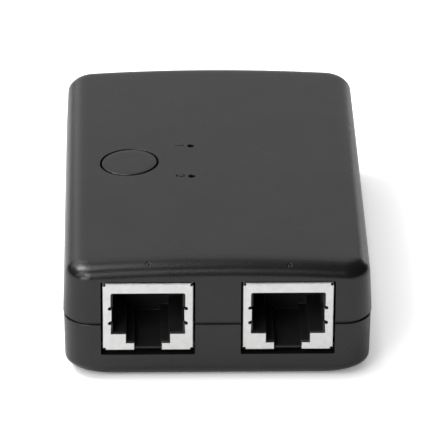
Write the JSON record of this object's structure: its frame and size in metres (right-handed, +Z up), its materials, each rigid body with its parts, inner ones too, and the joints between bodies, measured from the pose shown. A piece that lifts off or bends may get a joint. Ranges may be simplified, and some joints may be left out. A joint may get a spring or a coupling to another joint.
{
  "type": "network selector switch box",
  "caption": "Small flat plastic box that switches one shielded network socket between two others with a round push button, with indicator lamps.",
  "frame": {"origin": "centre of the underside's bounding rectangle, on the face it rests on", "axes": "-Y towards the face with two network sockets, +Y towards the face with one socket and the power inlet, +X to the right seen from the two-socket face, +Z up"},
  "size_m": [0.0546, 0.082, 0.0231],
  "materials": {
    "case_plastic": "satin black ABS with a fine moulded grain",
    "socket_plastic": "black, moulded, semi-matt",
    "shield_metal": "nickel-plated sheet, semi-bright",
    "contact_metal": "gold-flashed spring wire",
    "board_laminate": "green solder mask on glass laminate",
    "chip_plastic": "dark moulded epoxy",
    "screw_steel": "zinc-plated steel",
    "switch_plastic": "off-white acetal",
    "lamp_resin": "clear tinted epoxy"
  },
  "bodies": {
    "case": {"bottom_cover": "case_plastic", "case_screw_front_left": "screw_steel", "case_screw_front_right": "screw_steel", "case_screw_rear_left": "screw_steel", "case_screw_rear_right": "screw_steel", "circuit_board": "board_laminate", "front_left_jack_contact_1": "contact_metal", "front_left_jack_contact_2": "contact_metal", "front_left_jack_contact_3": "contact_metal", "front_left_jack_contact_4": "contact_metal", "front_left_jack_contact_5": "contact_metal", "front_left_jack_contact_6": "contact_metal", "front_left_jack_contact_7": "contact_metal", "front_left_jack_contact_8": "contact_metal", "front_left_jack_contact_carrier": "socket_plastic", "front_left_jack_housing": "socket_plastic", "front_left_jack_shield": "shield_metal", "front_right_jack_contact_1": "contact_metal", "front_right_jack_contact_2": "contact_metal", "front_right_jack_contact_3": "contact_metal", "front_right_jack_contact_4": "contact_metal", "front_right_jack_contact_5": "contact_metal", "front_right_jack_contact_6": "contact_metal", "front_right_jack_contact_7": "contact_metal", "front_right_jack_contact_8": "contact_metal", "front_right_jack_contact_carrier": "socket_plastic", "front_right_jack_housing": "socket_plastic", "front_right_jack_shield": "shield_metal", "indicator_lamp_1": "lamp_resin", "indicator_lamp_2": "lamp_resin", "input_capacitor": "shield_metal", "lamp_spacer_1": "socket_plastic", "lamp_spacer_2": "socket_plastic", "line_switch_chip_1": "chip_plastic", "line_switch_chip_2": "chip_plastic", "logic_chip": "chip_plastic", "power_socket_shell": "shield_metal", "power_socket_tongue": "socket_plastic", "rear_jack_contact_1": "contact_metal", "rear_jack_contact_2": "contact_metal", "rear_jack_contact_3": "contact_metal", "rear_jack_contact_4": "contact_metal", "rear_jack_contact_5": "contact_metal", "rear_jack_contact_6": "contact_metal", "rear_jack_contact_7": "contact_metal", "rear_jack_contact_8": "contact_metal", "rear_jack_contact_carrier": "socket_plastic", "rear_jack_housing": "socket_plastic", "rear_jack_shield": "shield_metal", "switch_housing": "chip_plastic", "switch_spring": "screw_steel", "top_cover": "case_plastic", "voltage_regulator": "chip_plastic"},
    "button": {"button_cap": "case_plastic", "switch_plunger": "switch_plastic"}
  },
  "joints": [
    {"name": "button_press", "type": "slide", "parent": "case", "child": "button", "axis": [0, 0, -1], "range_m": [0, 0.002], "stiffness_N_per_m": 900, "springref_m": -0.0008, "deforming": ["switch_spring"]}
  ]
}
